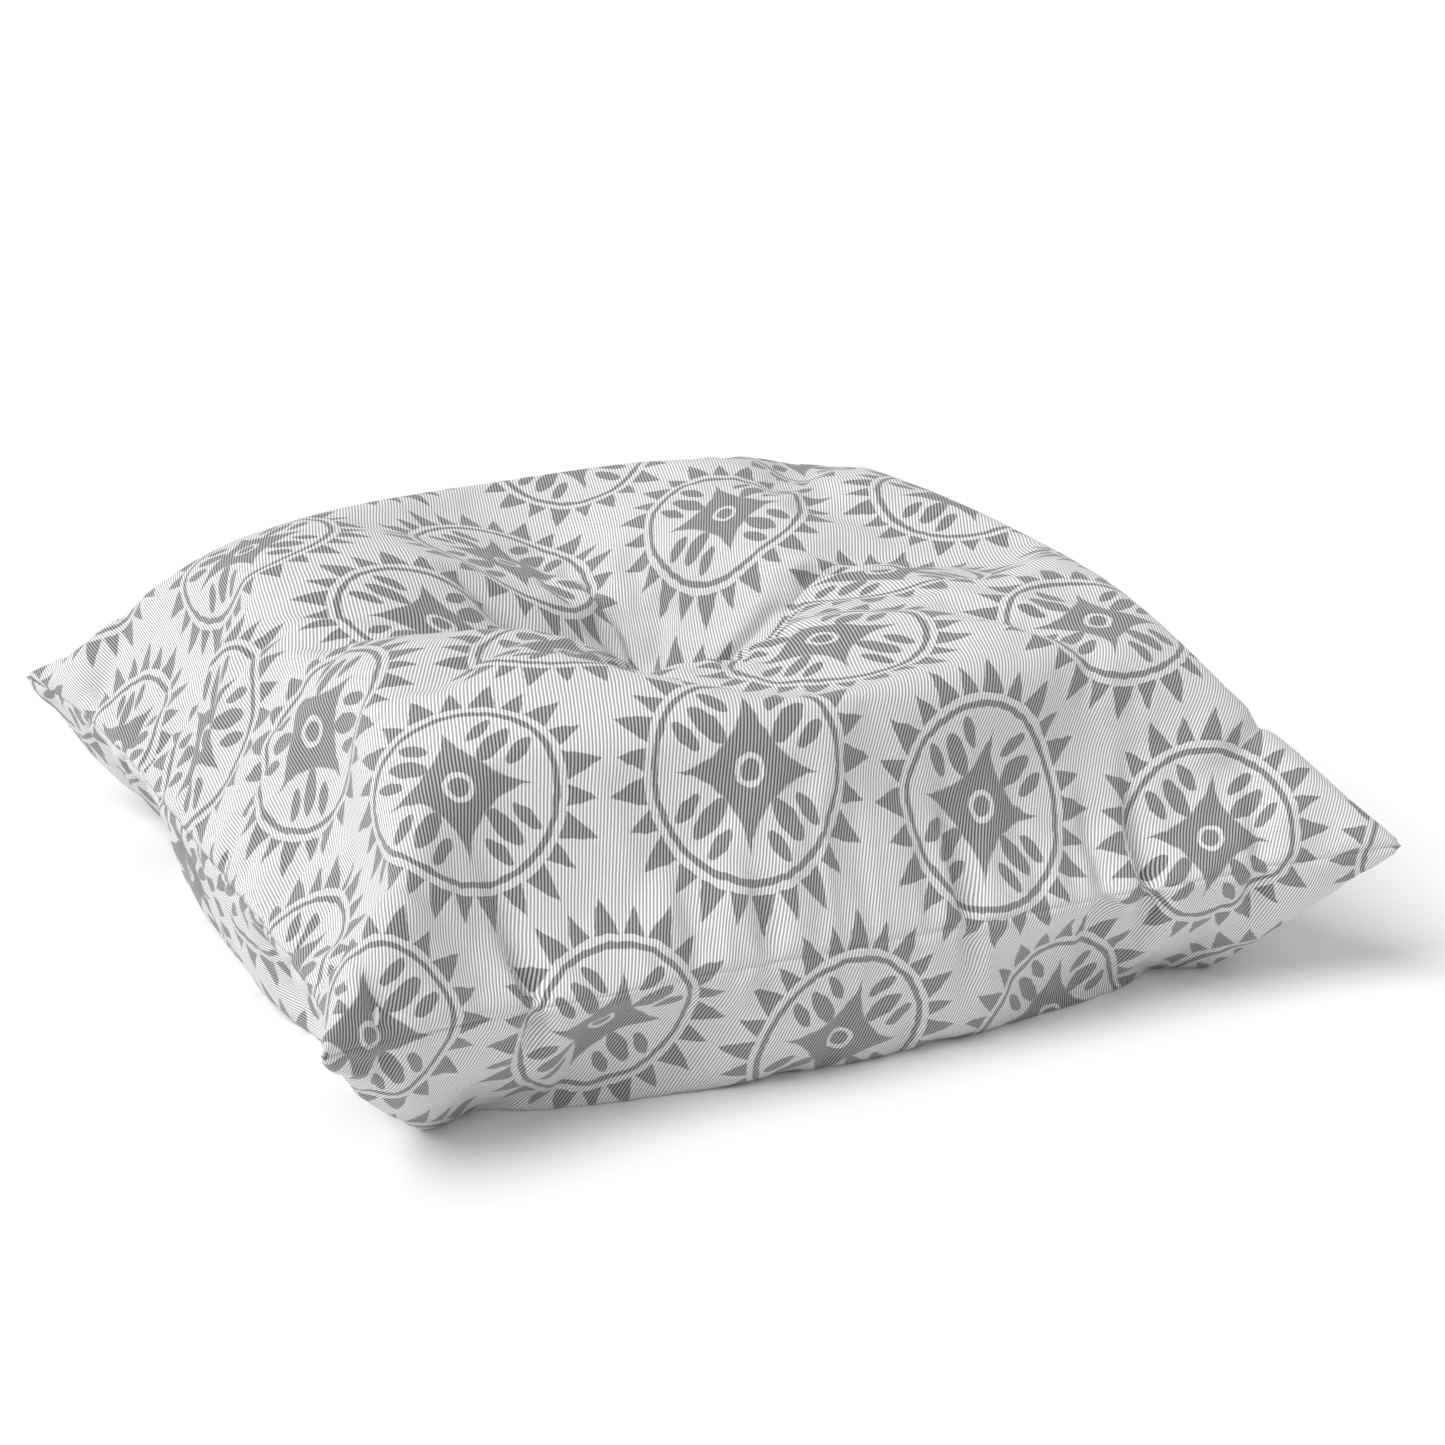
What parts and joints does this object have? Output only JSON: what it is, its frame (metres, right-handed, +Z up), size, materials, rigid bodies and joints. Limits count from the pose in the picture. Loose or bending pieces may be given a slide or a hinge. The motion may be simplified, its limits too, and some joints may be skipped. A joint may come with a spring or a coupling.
{
  "type": "floor cushion",
  "caption": "Square stuffed floor cushion with a printed woven cover, pointed corners, a tufted hollow in its middle and a zip in its back seam.",
  "frame": {"origin": "on the floor under the middle of the cushion", "axes": "+X along the front side, +Y towards the back side that holds the zip, +Z up"},
  "size_m": [0.626, 0.626, 0.2108],
  "materials": {
    "cover_cloth": "off-white woven cotton printed with grey medallions",
    "lining_cloth": "plain white non-woven lining",
    "fibre": "white polyester fibre",
    "thread": "off-white spun polyester thread",
    "zip_tape": "off-white woven polyester tape",
    "zip_coil": "off-white nylon coil",
    "zip_metal": "nickel-plated zinc, dulled",
    "button_plastic": "moulded off-white plastic",
    "steel_wire": "bright steel wire",
    "twine": "waxed natural twine"
  },
  "bodies": {
    "cushion": {"top_panel": "cover_cloth", "bottom_panel": "cover_cloth", "cover_seam_thread": "thread", "zip_tape_upper": "zip_tape", "zip_tape_lower": "zip_tape", "zip_coil_upper": "zip_coil", "zip_coil_lower": "zip_coil", "zip_stop_closed": "zip_metal", "zip_stop_open": "zip_metal", "insert_top_sheet": "lining_cloth", "insert_bottom_sheet": "lining_cloth", "insert_seam_thread": "thread", "fibre_fill": "fibre", "tuft_twine": "twine", "tuft_knot": "twine", "top_button_cloth": "cover_cloth", "top_button_former": "button_plastic", "top_button_plate": "button_plastic", "top_button_shank": "steel_wire", "bottom_button_cloth": "cover_cloth", "bottom_button_former": "button_plastic", "bottom_button_plate": "button_plastic", "bottom_button_shank": "steel_wire"},
    "zip_slider": {"zip_slider": "zip_metal"},
    "zip_pull": {"zip_pull": "zip_metal"}
  },
  "joints": [
    {"name": "zip_slide", "type": "slide", "parent": "cushion", "child": "zip_slider", "axis": [-1, 0, 0], "range_m": [0, 0.3456]},
    {"name": "zip_pull_swing", "type": "hinge", "parent": "zip_slider", "child": "zip_pull", "pos_m": [0.1728, 0.2899, 0.08], "axis": [0, 0, -1], "range_deg": [0, 170]}
  ]
}
